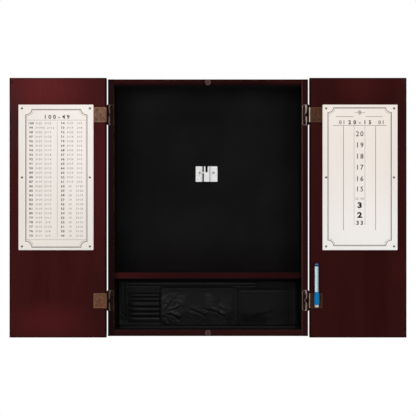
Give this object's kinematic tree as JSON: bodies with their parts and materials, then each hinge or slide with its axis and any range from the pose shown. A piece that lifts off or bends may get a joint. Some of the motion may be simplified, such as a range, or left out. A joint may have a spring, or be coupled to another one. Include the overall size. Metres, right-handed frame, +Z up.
{
  "type": "dart board cabinet",
  "caption": "Wall-hung dartboard cabinet with two flat doors, white score boards, a hanging bracket over a shelf, and a leatherette dart pouch below.",
  "frame": {"origin": "centre of the cabinet's back face, on the wall plane and at the centre of the four wall screws", "axes": "+X to the viewer's right along the cabinet front, +Y through the back towards the wall, +Z up"},
  "size_m": [1.0762, 0.0959, 0.704],
  "materials": {
    "stained_board": "dark mahogany stain on veneered board, satin",
    "black_board": "matt black painted board",
    "zinc_plate": "bright zinc plate, satin",
    "screw_steel": "plated steel",
    "magnet_plate": "nickel plate, dulled",
    "stained_strike": "steel under the door's stain",
    "antique_copper": "antique copper plate, mottled",
    "black_leatherette": "fine-grained black leatherette",
    "white_score_face": "white dry-erase laminate",
    "marker_blue": "moulded blue plastic",
    "marker_navy": "moulded navy plastic",
    "marker_pale": "pale blue moulded plastic",
    "white_felt": "pressed felt",
    "ink_felt": "ink-soaked felt"
  },
  "bodies": {
    "cabinet": {"left_side_panel": "stained_board", "right_side_panel": "stained_board", "top_panel": "stained_board", "bottom_panel": "stained_board", "shelf": "stained_board", "back_panel": "black_board", "dartboard_bracket": "zinc_plate", "bracket_screws": "screw_steel", "top_catch": "magnet_plate", "bottom_catch": "magnet_plate", "catch_screws": "screw_steel", "pouch_backing": "black_leatherette", "dart_sleeves": "black_leatherette", "centre_pocket": "black_leatherette", "flat_pocket": "black_leatherette", "left_upper_frame_leaf": "antique_copper", "left_lower_frame_leaf": "antique_copper", "right_upper_frame_leaf": "antique_copper", "right_lower_frame_leaf": "antique_copper", "left_upper_hinge_pin": "antique_copper", "left_lower_hinge_pin": "antique_copper", "right_upper_hinge_pin": "antique_copper", "right_lower_hinge_pin": "antique_copper", "left_frame_screws": "antique_copper", "right_frame_screws": "antique_copper"},
    "left_door": {"left_door_panel": "stained_board", "left_upper_door_leaf": "antique_copper", "left_lower_door_leaf": "antique_copper", "left_leaf_screws": "antique_copper", "left_score_board": "white_score_face", "left_board_screws": "screw_steel", "left_door_strikes": "stained_strike"},
    "right_door": {"right_door_panel": "stained_board", "right_upper_door_leaf": "antique_copper", "right_lower_door_leaf": "antique_copper", "right_leaf_screws": "antique_copper", "right_score_board": "white_score_face", "right_board_screws": "screw_steel", "right_door_strikes": "stained_strike", "marker_cap": "marker_blue", "marker_magnet": "magnet_plate", "marker_eraser": "white_felt"},
    "marker_pen": {"marker_barrel": "marker_pale", "marker_end_plug": "marker_navy", "marker_nib": "ink_felt"}
  },
  "joints": [
    {"name": "left_door_hinge", "type": "hinge", "parent": "cabinet", "child": "left_door", "pos_m": [-0.2705, -0.0807, 0], "axis": [0, 0, 1], "range_deg": [0, 180]},
    {"name": "right_door_hinge", "type": "hinge", "parent": "cabinet", "child": "right_door", "pos_m": [0.2705, -0.0807, 0], "axis": [0, 0, -1], "range_deg": [0, 180]},
    {"name": "marker_pull", "type": "slide", "parent": "right_door", "child": "marker_pen", "axis": [0, 0, 1], "range_m": [0, 0.04]}
  ]
}
